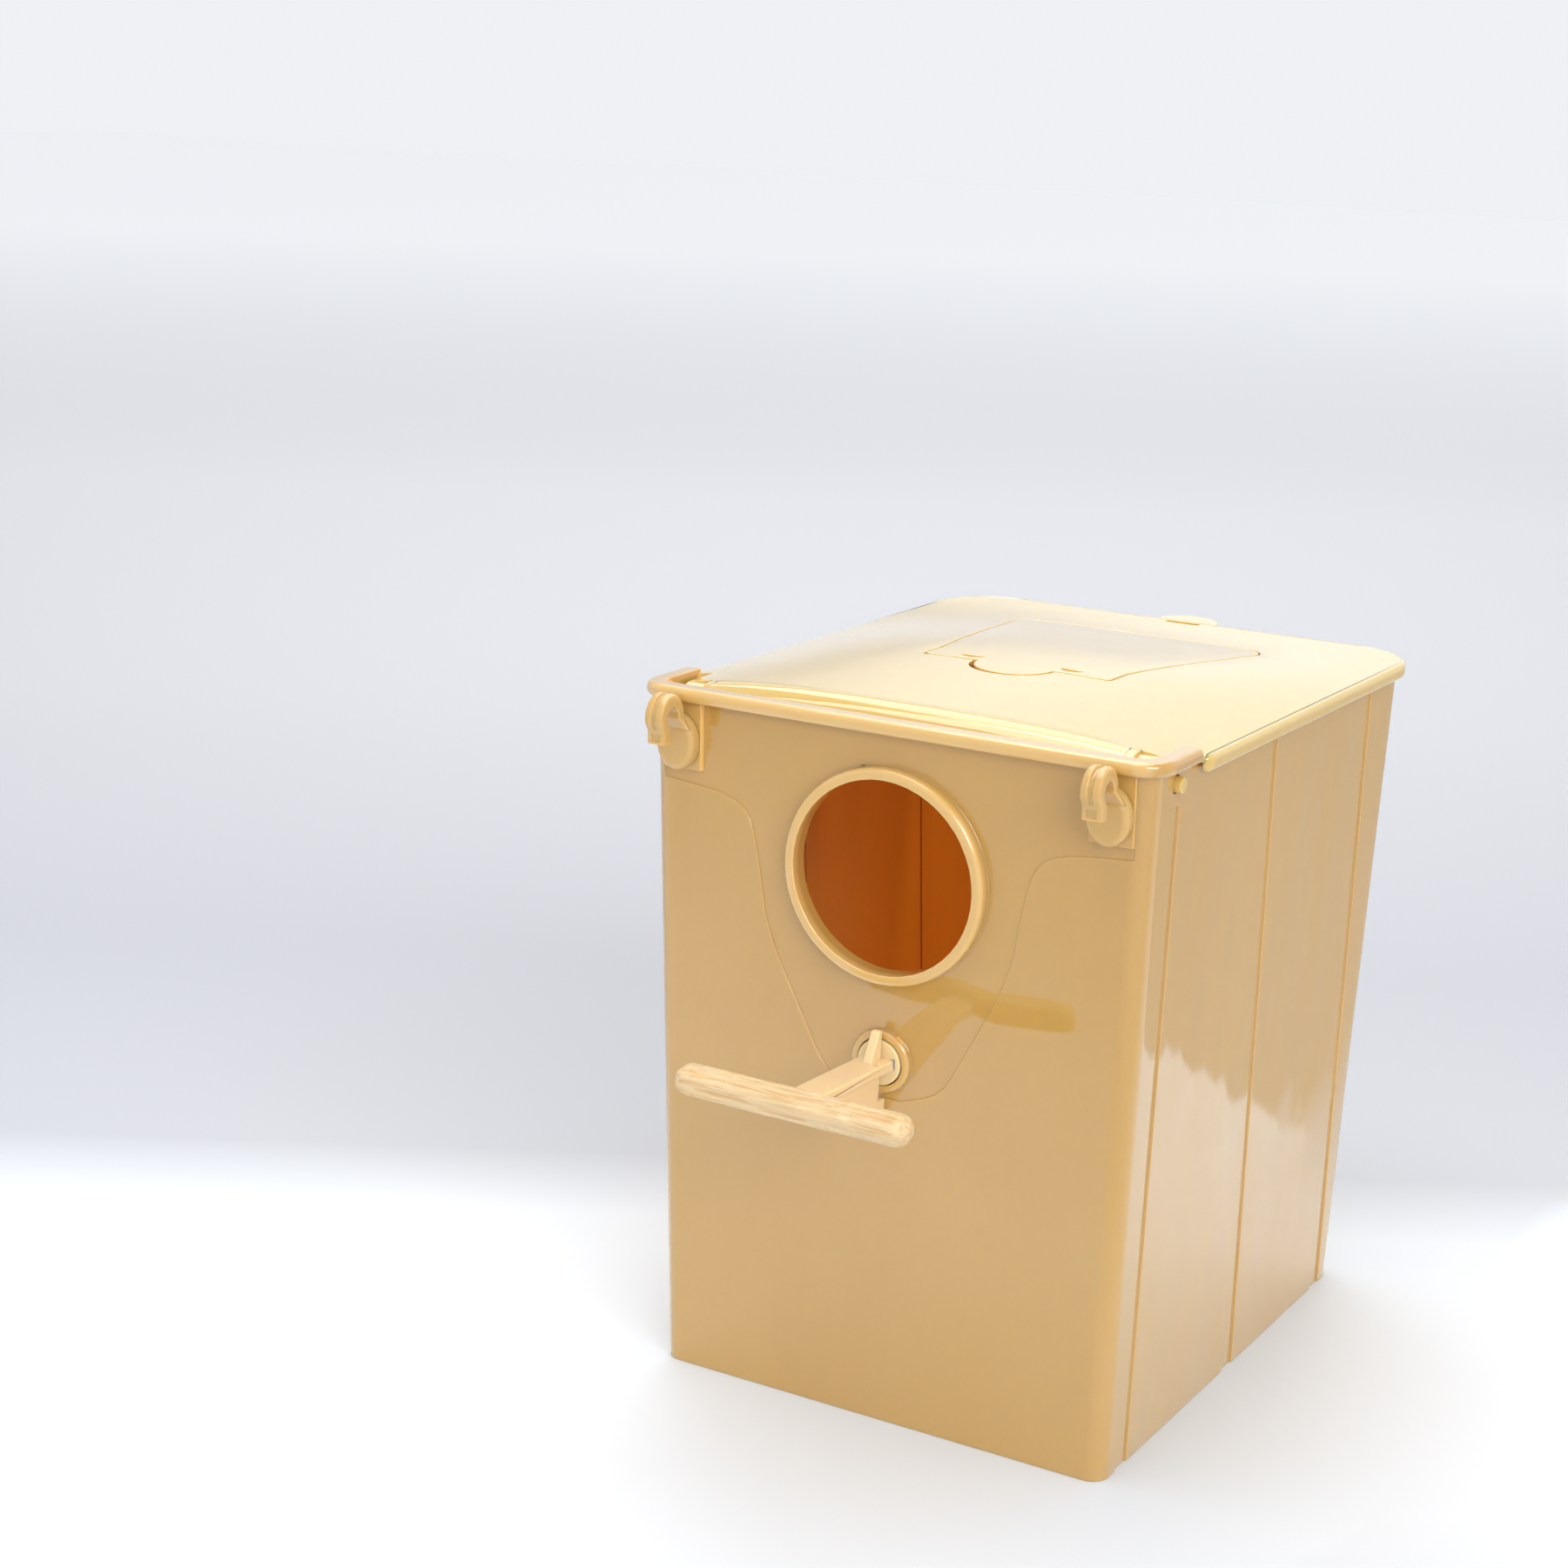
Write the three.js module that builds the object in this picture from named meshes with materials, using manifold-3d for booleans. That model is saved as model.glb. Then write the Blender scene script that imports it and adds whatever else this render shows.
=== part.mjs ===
// Finch nest box: a tapered moulded tub with a round entrance, a crowned lid that turns on its own
// pins, an inspection flap over a grille in the lid, a bayonet perch and two snap-in cage hooks.
// Millimetres, +Z up. Origin: middle of the floor's underside. The entrance faces -Y.

import * as THREE from 'three';
import { mergeVertices } from 'three/addons/utils/BufferGeometryUtils.js';
import Module from 'manifold-3d';

const wasm = await Module();
wasm.setup();

// Clearance between pieces that turn or slide in one another
const runningGap = 0.3;

// Tub: outside sizes at the rim, how far each face is drawn in at the floor, and the wall
const rimHeight = 170;
const rimWidth = 130;
const rimDepth = 164.5;
const sideDraft = 4.5;
const frontDraft = 6.25;
const rearDraft = 4.25;
const wall = 2;
const floorThickness = 2;
const frontCornerRadius = 5;
const rearCornerRadius = 11;

// Front flange: stands above the side rims and wraps the two front corners
const flangeRise = 5;
const flangeHeight = 3.5;
const flangeProud = 3;
const flangeEdge = 1.4;
const flangeLength = 19.3;

// Moulded channels: recessed outside and raised inside by the same amount. The side channels are
// placed by shares of the depth, at the foot and at the rim, and reach up by a share of the height
const channelDepth = 0.6;
const channelTopWidth = 6;
const channelFootWidth = 7;
const rearChannelCount = 5;
const rearChannelMargin = 12;
const sideChannelShares = [
  { foot: 0.074, rim: 0.074, high: 0.955 },
  { foot: 0.498, rim: 0.42, high: 1 },
  { foot: 0.897, rim: 0.815, high: 1 },
];

// Round entrance with its raised collar, centred below the side rims
const entranceDrop = 31.9;
const entranceRadius = 23.3;
const collarWidth = 2.6;
const collarProud = 3.3;
const collarRound = 1.1;

// Shallow bib panel round the entrance, from its shoulders down: half widths as shares of half the
// rim's width, heights as shares of the way up from the bib's foot to its shoulders
const bibDepth = 0.3;
const bibShoulderRise = 14.1;
const bibFootDrop = 1.7;
const bibShares = [
  { half: 0.938, high: 1 },
  { half: 0.677, high: 0.971 },
  { half: 0.575, high: 0.904 },
  { half: 0.529, high: 0.745 },
  { half: 0.498, high: 0.571 },
  { half: 0.431, high: 0.404 },
  { half: 0.331, high: 0.223 },
  { half: 0.231, high: 0.064 },
  { half: 0.077, high: 0 },
];

// Perch socket, centred below the entrance: a raised ring round a bayonet hole
const socketDrop = 45.3;
const socketRadius = 7.7;
const socketRingWidth = 1.8;
const socketProud = 1.5;

// Hook seats: pads in the front's top corners, and the same holes left empty in the rear wall,
// one and a half channel pitches from its middle
const hookInset = 9.3;
const hookDrop = 7.9;
const padHalfWidth = 5.4;
const padDrop = 7;
const padProud = 1;
const rearHoleDrop = 10;
const rearHolePitchShare = 1.5;

// Catch ledge on the outside of the rear rim
const ledgeWidth = 7;
const ledgeProud = 0.95;
const ledgeHeight = 1.4;
const ledgeDrop = 0.5;

// Lid: how far it reaches past the tub, and its plate and skirt
const lidOverhang = 3;
const lidRearOverhang = 4.25;
const lidShoulderGap = 4;
const lidCornerRadius = 18;
const lidPlate = 2.2;
const lidSkirt = 1.8;
const lidSkirtDrop = 2;
const lidEdgeRound = 1.5;
const lidSeatGap = 0.3;

// Lid crown: how far the plate swells above its own edge. Its peak, measured from the rear, and its
// reach ahead of the peak are shares of the lid's length
const crownHeight = 5;
const crownPower = 3;
const crownPeakShare = 0.63;
const crownReachShare = 1.18;
const crownGridStep = 13;

// Lid hinge: rolled nose round the hinge line, cheeks that close it, and an ear at each end with the
// boss that carries the pin
const hingeInset = 12.4;
const hingeDrop = 2.2;
const noseWallGap = 2.35;
const noseSideGap = 7;
const noseThickness = 2;
const noseSweepDegrees = 100;
const cheekThickness = 2.2;
const bossRadius = 5.6;
const bossWallGap = 1.1;
const pinRadius = 1.9;
const pinProud = 1.7;

// Fins, nubs and ejector marks on the lid's underside; the marks are placed by shares of the lid's
// half width and of its length behind the hinge line
const finSetback = 16;
const finLength = 15;
const finHeight = 7;
const finThickness = 1.6;
const finWallGap = 1.2;
const nubX = 27;
const nubRadius = 1.3;
const nubWallGap = 0.55;
const markRadius = 3;
const markDepth = 0.35;
const markShares = [
  { across: 0.824, along: 0.933 },
  { across: 0.846, along: 0.49 },
  { across: 0.493, along: 0.349 },
  { across: 0.765, along: 0.055 },
];

// Latch at the rear of the lid: thumb tab, catch and the moulding window over the catch
const tabRadius = 8.8;
const tabRound = 0.7;
const catchMargin = 0.5;
const catchDrop = 1.6;
const catchHeight = 1;
const catchGap = 0.4;
const latchWindowMargin = 0.8;
const latchWindowDepth = 2.4;

// Hatch: trapezoid opening in the lid with a round thumb hole ahead of it
const hatchLength = 77.6;
const hatchRearMargin = 29.5;
const hatchStraight = 10;
const hatchFrontHalf = 25.6;
const hatchRearHalf = 36.6;
const hatchCornerRadius = 6.5;
const hatchFrontCorner = 1;
const thumbHoleRadius = 11;

// Flap: flush in the hatch, with lugs and stub pins that turn in two eyes under the plate
const flapRecess = 0.6;
const flapRestGap = 0.3;
const flapSideGap = 0.5;
const flapFrontGap = 0.8;
const flapHingeSetback = 6;
const flapAxisDrop = 0.5;
const flapPinRadius = 1.1;
const flapLugWall = 0.8;
const flapLugWidth = 2.3;
const eyeWall = 1.1;
const eyeWidth = 2.4;
const eyeStandoff = 0.4;
const slitX = 13.5;
const slitLength = 7;
const slitWidth = 2.2;

// Grille under the hatch: cross bars set in from its front and rear edges
const barCount = 5;
const barWidth = 2;
const barHeight = 1.9;
const barOverlap = 4.4;
const barFrontSetback = 13.2;
const barRearSetback = 9.6;

// Perch: base disc, bayonet shank and lugs, stem with its rib, and bark-like crossbar
const perchDiscThickness = 1.7;
const perchShankRadius = 3.6;
const perchLugWidth = 2.8;
const perchLugThickness = 1.5;
const stemWidth = 8;
const stemThickness = 2.4;
const stemReach = 40.5;
const stemLiftDegrees = 4.4;
const stemFinHeight = 8.2;
const stemFinRoot = 1.6;
const stemFinLength = 5.5;
const stemFinThickness = 2.2;
const gussetToe = 3.3;
const gussetHeel = 2.5;
const crossbarLength = 60.5;
const crossbarRadius = 4;
const barkRidgeShare = 0.05;
const barkRidges = 5;
const barkTwistTurns = 0.4;

// Hook: oval foot with a rounded edge, snap shank with a slit head, and an arch that rises in front
// of the flange; its front leg is drawn in towards the tip, more on the inside than on the outside
const hookFootHalfWidth = 5.3;
const hookFootHalfHeight = 6.8;
const hookFootThickness = 3.2;
const hookFootRound = 1.4;
const hookShankRadius = 2.9;
const hookHeadLip = 0.9;
const hookHeadThickness = 1;
const hookSlitWidth = 0.8;
const archThroat = 5;
const archBand = 2.6;
const archCrest = 3.3;
const archWidth = 5.2;
const archRootWidth = 8.6;
const archRootUp = 3.5;
const archRootRise = 3;
const archRootBury = 0.2;
const archTipUp = 1.3;
const archTipFlat = 2.6;
const archTipDrawIn = 1.6;
const archTipDrawOut = 1.3;
const archLegSteps = 4;
const gateMarkWidth = 2.4;
const gateMarkHeight = 1.8;
const gateMarkDepth = 0.3;
const gateMarkUp = 0.6;

// Half of the arch's cross section, from the middle of its grooved outer face round to its inner face,
// as shares of half its width and of its thickness; the groove has its own share of the thickness
const archGrooveShare = 0.2;
const archSectionShares = [
  { across: 0.15, deep: 0, groove: 1 },
  { across: 0.27, deep: 0, groove: 0 },
  { across: 0.6, deep: 0, groove: 0 },
  { across: 0.88, deep: 0.1, groove: 0 },
  { across: 1, deep: 0.36, groove: 0 },
  { across: 1, deep: 0.88, groove: 0 },
  { across: 0.92, deep: 1, groove: 0 },
];

// How round the round things are, how far cutters run past what they cut, and the finish
const overrun = 5;
const entranceSides = 48;
const mediumSides = 24;
const smallSides = 16;
const cornerSteps = 6;
const roundSteps = 3;
const plasticRoughness = 0.28;

// Tub, worked out: the origin is the middle of the floor, so the rim lies a little ahead of it
const floorWidth = rimWidth - 2 * sideDraft;
const floorDepth = rimDepth - frontDraft - rearDraft;
const rimFrontY = -floorDepth / 2 - frontDraft;
const rimRearY = floorDepth / 2 + rearDraft;
const rimMiddleY = (rimFrontY + rimRearY) / 2;
const frontLean = Math.atan2(frontDraft, rimHeight);
const rearLean = Math.atan2(rearDraft, rimHeight);
const flangeTop = rimHeight + flangeRise;
const flangeFoot = flangeTop - flangeHeight;
const flangeEndY = rimFrontY + flangeLength;
const rearChannelSpan = rimWidth - 2 * (rearCornerRadius + rearChannelMargin);
const rearChannelPitch = rearChannelSpan / (rearChannelCount - 1);
const entranceHeight = rimHeight - entranceDrop;
const collarRadius = entranceRadius + collarWidth;
const socketHeight = entranceHeight - socketDrop;
const bibShoulder = entranceHeight + bibShoulderRise;
const bibFoot = socketHeight - socketRadius - bibFootDrop;
const hookX = rimWidth / 2 - hookInset;
const hookHeight = rimHeight - hookDrop;
const hookHoleRadius = hookShankRadius + runningGap;
const rearHoleX = rearHolePitchShare * rearChannelPitch;
const rearHoleHeight = rimHeight - rearHoleDrop;

// Lid, worked out: it rests on the side rims, and its nose turns inside the front wall
const hingeY = rimFrontY + hingeInset;
const hingeZ = rimHeight - hingeDrop;
const noseRadius = hingeInset - wall - noseWallGap;
const lidNoseHalfWidth = rimWidth / 2 - wall - noseSideGap;
const lidEarHalfWidth = rimWidth / 2 - wall - bossWallGap;
const lidHalfWidth = rimWidth / 2 + lidOverhang;
const lidRearY = rimRearY + lidRearOverhang;
const lidShoulderY = flangeEndY + lidShoulderGap;
const lidUnder = rimHeight + lidSeatGap;
const lidTop = lidUnder + lidPlate;
const lidSkirtFoot = lidUnder - lidSkirtDrop;
const lidLength = lidRearY - hingeY + noseRadius;
const crownHalfWidth = lidHalfWidth - lidEdgeRound;
const crownRearY = lidRearY - lidEdgeRound;
const crownPeakY = lidRearY - crownPeakShare * lidLength;
const crownFrontReach = crownReachShare * lidLength;
const finY = lidShoulderY + finSetback;
const nubY = rimRearY - wall - nubWallGap - nubRadius;
const catchWidth = ledgeWidth + 2 * catchMargin;
const latchWindowWidth = catchWidth + 2 * latchWindowMargin;

// Hatch, flap and grille, worked out from the lid that holds them
const hatchRearY = lidRearY - hatchRearMargin;
const hatchFrontY = hatchRearY - hatchLength;
const hatchStraightEndY = hatchFrontY + hatchStraight;
const flapThickness = lidPlate - flapRecess;
const flapHingeY = hatchFrontY + flapHingeSetback;
const flapLugRadius = flapPinRadius + flapLugWall;
const eyeRadius = flapPinRadius + runningGap + eyeWall;
const barFrontY = hatchFrontY + barFrontSetback;
const barPitch = (hatchLength - barFrontSetback - barRearSetback) / (barCount - 1);

// Perch and hooks, worked out from the seats that take them
const perchDiscRadius = socketRadius - socketRingWidth - runningGap;
const perchLugLength = 2 * (perchDiscRadius - runningGap);
const gussetTop = socketRadius + runningGap + stemThickness / 2;
const gussetDrop = gussetTop + gussetToe;
const stemLift = THREE.MathUtils.degToRad(stemLiftDegrees);
const hookFoot = padProud + runningGap;
const hookHeadRadius = hookShankRadius + hookHeadLip;
const hookFace = hookFoot + hookFootThickness;
const archInner = archThroat / 2;
const archCentreUp = flangeTop - hookHeight - archInner - archCrest;
const archCentreOut = flangeProud + runningGap + archBand + archInner;

// Turns a closed three.js geometry into a solid that can be joined and cut
function solid(geometry) {
  const bare = new THREE.BufferGeometry();
  bare.setAttribute('position', geometry.getAttribute('position'));
  bare.setIndex(geometry.index);
  const welded = mergeVertices(bare);
  const place = welded.getAttribute('position');
  const corners = [];
  for (let i = 0; i < welded.index.count; i += 3) {
    const [a, b, c] = [0, 1, 2].map((k) => welded.index.getX(i + k));
    if (a !== b && b !== c && c !== a) corners.push(a, b, c);
  }
  const outward = signedVolume(place, corners) > 0;
  const triVerts = Uint32Array.from(outward ? corners : corners.slice().reverse());
  const vertProperties = Float32Array.from(place.array);
  return new wasm.Manifold(new wasm.Mesh({ numProp: 3, vertProperties, triVerts }));
}

function signedVolume(place, corners) {
  const [a, b, c] = [new THREE.Vector3(), new THREE.Vector3(), new THREE.Vector3()];
  let volume = 0;
  for (let i = 0; i < corners.length; i += 3) {
    a.fromBufferAttribute(place, corners[i]);
    b.fromBufferAttribute(place, corners[i + 1]);
    c.fromBufferAttribute(place, corners[i + 2]);
    volume += a.dot(b.cross(c));
  }
  return volume;
}

function joined(...solids) {
  return solids.reduce((whole, next) => whole.add(next));
}

function cut(body, ...cutters) {
  return cutters.reduce((left, cutter) => left.subtract(cutter), body);
}

// A plan shape pushed up from one height to another
function prism(shape, low, high, steps = cornerSteps) {
  const options = { depth: high - low, bevelEnabled: false, curveSegments: steps };
  return new THREE.ExtrudeGeometry(shape, options).translate(0, 0, low);
}

// The same with its upper and lower outer edges rounded off
function roundedPrism(shape, low, high, round) {
  const geometry = new THREE.ExtrudeGeometry(shape, {
    depth: high - low - 2 * round,
    bevelThickness: round,
    bevelSize: round,
    bevelOffset: -round,
    bevelSegments: roundSteps,
    curveSegments: cornerSteps,
  });
  return geometry.translate(0, 0, low + round);
}

function block(low, high) {
  const size = high.map((value, i) => value - low[i]);
  const geometry = new THREE.BoxGeometry(...size);
  return geometry.translate(...high.map((value, i) => (value + low[i]) / 2));
}

// A cylinder along local Z
function disc(radius, low, high, sides = smallSides) {
  const geometry = new THREE.CylinderGeometry(radius, radius, high - low, sides);
  return geometry.rotateX(Math.PI / 2).translate(0, 0, (high + low) / 2);
}

// A cylinder along X at a place in the YZ plane
function rod(radius, fromX, toX, y, z, sides = smallSides) {
  const geometry = new THREE.CylinderGeometry(radius, radius, Math.abs(toX - fromX), sides);
  return geometry.rotateZ(Math.PI / 2).translate((fromX + toX) / 2, y, z);
}

// A rectangle with round front and rear corners, seen from above
function roundedPlan(halfWidth, frontY, rearY, frontRadius, rearRadius) {
  const shape = new THREE.Shape();
  const quarter = Math.PI / 2;
  shape.absarc(halfWidth - frontRadius, frontY + frontRadius, frontRadius, -quarter, 0);
  shape.absarc(halfWidth - rearRadius, rearY - rearRadius, rearRadius, 0, quarter);
  shape.absarc(rearRadius - halfWidth, rearY - rearRadius, rearRadius, quarter, 2 * quarter);
  shape.absarc(frontRadius - halfWidth, frontY + frontRadius, frontRadius, 2 * quarter, 3 * quarter);
  shape.closePath();
  return shape;
}

// Tub walls: everything drawn straight up at rim size is drawn in towards the floor by this
function tapered(geometry) {
  const place = geometry.getAttribute('position');
  for (let i = 0; i < place.count; i += 1) {
    const share = place.getZ(i) / rimHeight;
    const width = floorWidth + (rimWidth - floorWidth) * share;
    const depth = floorDepth + (rimDepth - floorDepth) * share;
    const fromMiddle = (place.getY(i) - rimMiddleY) * depth / rimDepth;
    place.setX(i, place.getX(i) * width / rimWidth);
    place.setY(i, rimMiddleY * share + fromMiddle);
  }
  return geometry;
}

function frontWallY(z) {
  return -floorDepth / 2 - z * Math.tan(frontLean);
}

function rearWallY(z) {
  return floorDepth / 2 + z * Math.tan(rearLean);
}

// Local frames on the walls: X to the right seen from outside, Y up the wall, Z out of it
function frontFrame(x, z) {
  const right = new THREE.Vector3(1, 0, 0);
  const up = new THREE.Vector3(0, -Math.sin(frontLean), Math.cos(frontLean));
  const out = new THREE.Vector3(0, -Math.cos(frontLean), -Math.sin(frontLean));
  return new THREE.Matrix4().makeBasis(right, up, out).setPosition(x, frontWallY(z), z);
}

function rearFrame(x, z) {
  const right = new THREE.Vector3(-1, 0, 0);
  const up = new THREE.Vector3(0, Math.sin(rearLean), Math.cos(rearLean));
  const out = new THREE.Vector3(0, Math.cos(rearLean), -Math.sin(rearLean));
  return new THREE.Matrix4().makeBasis(right, up, out).setPosition(x, rearWallY(z), z);
}

// One channel as a tall trapezoid facing -Y, its top moved aside by a shift, pushed through the wall's
// face from one depth to another
function channel(top, shift, from, to) {
  const shape = new THREE.Shape();
  const low = -overrun;
  shape.moveTo(-channelFootWidth / 2, low);
  shape.lineTo(channelFootWidth / 2, low);
  shape.lineTo(shift + channelTopWidth / 2, top);
  shape.lineTo(shift - channelTopWidth / 2, top);
  shape.closePath();
  return prism(shape, from, to).rotateX(Math.PI / 2);
}

// All channels, given how far their two faces lie outside the tub's outer face
function channels(from, to) {
  const solids = [];
  for (let i = 0; i < rearChannelCount; i += 1) {
    const x = (i - (rearChannelCount - 1) / 2) * rearChannelPitch;
    const rear = channel(rimHeight + overrun, 0, from, to).rotateZ(Math.PI);
    solids.push(solid(tapered(rear.translate(x, rimRearY, 0))));
  }
  for (const { foot, rim, high } of sideChannelShares) {
    const top = high * rimHeight + (high < 1 ? 0 : overrun);
    for (const side of [-1, 1]) {
      const shift = side * (rim - foot) * rimDepth;
      const flank = channel(top, shift, from, to).rotateZ(side * Math.PI / 2);
      flank.translate(side * rimWidth / 2, rimFrontY + foot * rimDepth, 0);
      solids.push(solid(tapered(flank)));
    }
  }
  return joined(...solids);
}

function tubPlan(offset) {
  return roundedPlan(
    rimWidth / 2 + offset,
    rimFrontY - offset,
    rimRearY + offset,
    frontCornerRadius + offset,
    rearCornerRadius + offset,
  );
}

// Walls, floor and channels
function tubShell() {
  const body = solid(tapered(prism(tubPlan(0), 0, flangeTop)));
  const outside = cut(body, channels(-channelDepth, overrun));
  const cavity = solid(tapered(prism(tubPlan(-wall), floorThickness, flangeTop + overrun)));
  const ribs = channels(-wall - channelDepth, -wall + channelDepth);
  return { outside, cavity: cavity.subtract(ribs) };
}

// The raised front flange is a rounded band; behind its ends the rim drops to the side rim
function flangeBand() {
  const band = solid(roundedPrism(tubPlan(flangeProud), flangeFoot, flangeTop, flangeEdge));
  const front = block(
    [-rimWidth, rimFrontY - flangeProud - overrun, rimHeight],
    [rimWidth, flangeEndY, flangeTop + overrun],
  );
  return band.intersect(solid(front));
}

function behindFlange() {
  const low = [-rimWidth, flangeEndY, rimHeight];
  return solid(block(low, [rimWidth, rimRearY + overrun, flangeTop + overrun]));
}

// A ring on the wall, revolved from a section with a rounded outer edge
function wallRing(inner, outer, proud, round, sides) {
  const section = new THREE.Path();
  section.moveTo(inner, -wall / 2);
  section.lineTo(outer, -wall / 2);
  section.absarc(outer - round, proud - round, round, 0, Math.PI / 2);
  section.lineTo(inner, proud);
  section.lineTo(inner, -wall / 2);
  const points = section.getPoints(roundSteps);
  return new THREE.LatheGeometry(points, sides).rotateX(Math.PI / 2);
}

// The bib's edge falls from both corners, passes beside the entrance and closes under the socket
function bibCutter() {
  const right = bibShares.map(({ half, high }) => new THREE.Vector2(
    half * rimWidth / 2,
    bibFoot + high * (bibShoulder - bibFoot) - entranceHeight,
  ));
  const left = right.map(({ x, y }) => new THREE.Vector2(-x, y)).reverse();
  const shape = new THREE.Shape();
  const top = flangeFoot - entranceHeight;
  shape.moveTo(-right[0].x, top);
  shape.lineTo(right[0].x, top);
  shape.lineTo(right[0].x, right[0].y);
  shape.splineThru(right.slice(1));
  shape.lineTo(left[0].x, left[0].y);
  shape.splineThru(left.slice(1));
  shape.closePath();
  return prism(shape, -bibDepth, bibDepth + overrun, roundSteps);
}

// A hook's pad runs up into the flange
function frontPad(side) {
  const high = flangeFoot + flangeHeight / 2 - hookHeight;
  const shape = block([-padHalfWidth, -padDrop, -wall * 3 / 4], [padHalfWidth, high, padProud]);
  return solid(shape.applyMatrix4(frontFrame(side * hookX, hookHeight)));
}

// Bayonet hole: a round hole with two side notches for the perch's lugs
function perchHole() {
  const hole = disc(perchShankRadius + runningGap, -wall - overrun, socketProud + overrun);
  const half = perchLugLength / 2 + runningGap;
  const notch = block(
    [-half, -perchLugWidth / 2 - runningGap, -wall - overrun],
    [half, perchLugWidth / 2 + runningGap, socketProud + overrun],
  );
  const frame = frontFrame(0, socketHeight);
  return solid(hole.applyMatrix4(frame)).add(solid(notch.applyMatrix4(frame)));
}

function throughHole(radius, frame, sides) {
  return solid(disc(radius, -wall - overrun, collarProud + overrun, sides).applyMatrix4(frame));
}

function catchLedge() {
  const top = rimHeight - ledgeDrop;
  const y = rearWallY(top);
  const half = ledgeWidth / 2;
  return solid(block([-half, y - wall / 2, top - ledgeHeight], [half, y + ledgeProud, top]));
}

function makeTub() {
  const { outside, cavity } = tubShell();
  const entrance = frontFrame(0, entranceHeight);
  const socket = frontFrame(0, socketHeight);
  const collar = wallRing(entranceRadius, collarRadius, collarProud, collarRound, entranceSides);
  const ringInner = socketRadius - socketRingWidth;
  const ring = wallRing(ringInner, socketRadius, socketProud, socketRingWidth / 2, mediumSides);
  const faced = cut(outside, solid(bibCutter().applyMatrix4(entrance)), behindFlange());
  const dressed = joined(
    faced,
    flangeBand(),
    solid(collar.applyMatrix4(entrance)),
    solid(ring.applyMatrix4(socket)),
    frontPad(-1),
    frontPad(1),
    catchLedge(),
  );
  const holes = [throughHole(entranceRadius, entrance, entranceSides), perchHole()];
  for (const side of [-1, 1]) {
    holes.push(throughHole(hookHoleRadius, frontFrame(side * hookX, hookHeight), smallSides));
    holes.push(throughHole(hookHoleRadius, rearFrame(side * rearHoleX, rearHoleHeight), smallSides));
  }
  const hingeHole = rod(pinRadius + runningGap, -rimWidth, rimWidth, hingeY, hingeZ);
  return cut(dressed, cavity, ...holes, solid(hingeHole));
}

function crownAt(x, y) {
  const across = 1 - Math.min(1, Math.abs(x) / crownHalfWidth) ** crownPower;
  const reach = y > crownPeakY ? crownRearY - crownPeakY : crownFrontReach;
  const along = Math.min(1, Math.abs(y - crownPeakY) / reach);
  return crownHeight * across * Math.cos(along * Math.PI / 2) ** 2;
}

// A slab cut into a grid, each point lifted by the crown
function crownedSlab(low, high) {
  const size = high.map((value, i) => value - low[i]);
  const cells = [Math.ceil(size[0] / crownGridStep), Math.ceil(size[1] / crownGridStep)];
  const geometry = new THREE.BoxGeometry(...size, ...cells, 1);
  geometry.translate(...high.map((value, i) => (value + low[i]) / 2));
  const place = geometry.getAttribute('position');
  for (let i = 0; i < place.count; i += 1) {
    place.setZ(i, place.getZ(i) + crownAt(place.getX(i), place.getY(i)));
  }
  return geometry;
}

// Plate plan: wide over the side walls, narrower at the ears between the flange ends
function lidPlatePlan(inset) {
  const half = lidHalfWidth - inset;
  const rear = lidRearY - inset;
  const radius = lidCornerRadius - inset;
  const shape = new THREE.Shape();
  shape.absarc(half - radius, rear - radius, radius, 0, Math.PI / 2);
  shape.absarc(radius - half, rear - radius, radius, Math.PI / 2, Math.PI);
  shape.lineTo(-half, lidShoulderY);
  shape.lineTo(-lidEarHalfWidth, lidShoulderY);
  shape.lineTo(-lidEarHalfWidth, hingeY);
  shape.lineTo(lidEarHalfWidth, hingeY);
  shape.lineTo(lidEarHalfWidth, lidShoulderY);
  shape.lineTo(half, lidShoulderY);
  shape.closePath();
  return shape;
}

function lidPlateSolid() {
  const slab = crownedSlab([-lidHalfWidth, hingeY, lidUnder], [lidHalfWidth, lidRearY, lidTop]);
  const plan = prism(lidPlatePlan(lidEdgeRound), lidUnder - overrun, lidTop + crownHeight + overrun);
  return solid(slab).intersect(solid(plan));
}

// Skirt round the sides and the rear, open at the front
function lidSkirtSolid() {
  const outerPlan = roundedPlan(lidHalfWidth, lidShoulderY, lidRearY, 2 * lidEdgeRound, lidCornerRadius);
  const innerPlan = roundedPlan(
    lidHalfWidth - lidSkirt,
    lidShoulderY - overrun - lidEdgeRound,
    lidRearY - lidSkirt,
    lidEdgeRound,
    lidCornerRadius - lidSkirt,
  );
  const outer = roundedPrism(outerPlan, lidSkirtFoot, lidTop, lidEdgeRound);
  const inner = prism(innerPlan, lidSkirtFoot - overrun, lidTop + overrun);
  return solid(outer).subtract(solid(inner));
}

// A stretch of the rolled nose: a quarter of an oval shell round the hinge line, flush with the
// crowned plate at its top. A shell as thick as the nose's radius is solid
function noseShell(fromX, toX, thickness) {
  const cells = Math.ceil((toX - fromX) / crownGridStep);
  const geometry = new THREE.BoxGeometry(toX - fromX, 1, 1, cells, 2 * cornerSteps, 1);
  geometry.translate((fromX + toX) / 2, 1 / 2, 1 / 2);
  const place = geometry.getAttribute('position');
  for (let i = 0; i < place.count; i += 1) {
    const x = place.getX(i);
    const angle = THREE.MathUtils.degToRad(noseSweepDegrees * place.getY(i));
    const high = lidTop - hingeZ + crownAt(x, hingeY);
    const left = 1 - (1 - place.getZ(i)) * thickness / noseRadius;
    place.setY(i, hingeY - left * noseRadius * Math.cos(angle));
    place.setZ(i, hingeZ + left * high * Math.sin(angle));
  }
  return solid(geometry);
}

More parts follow.
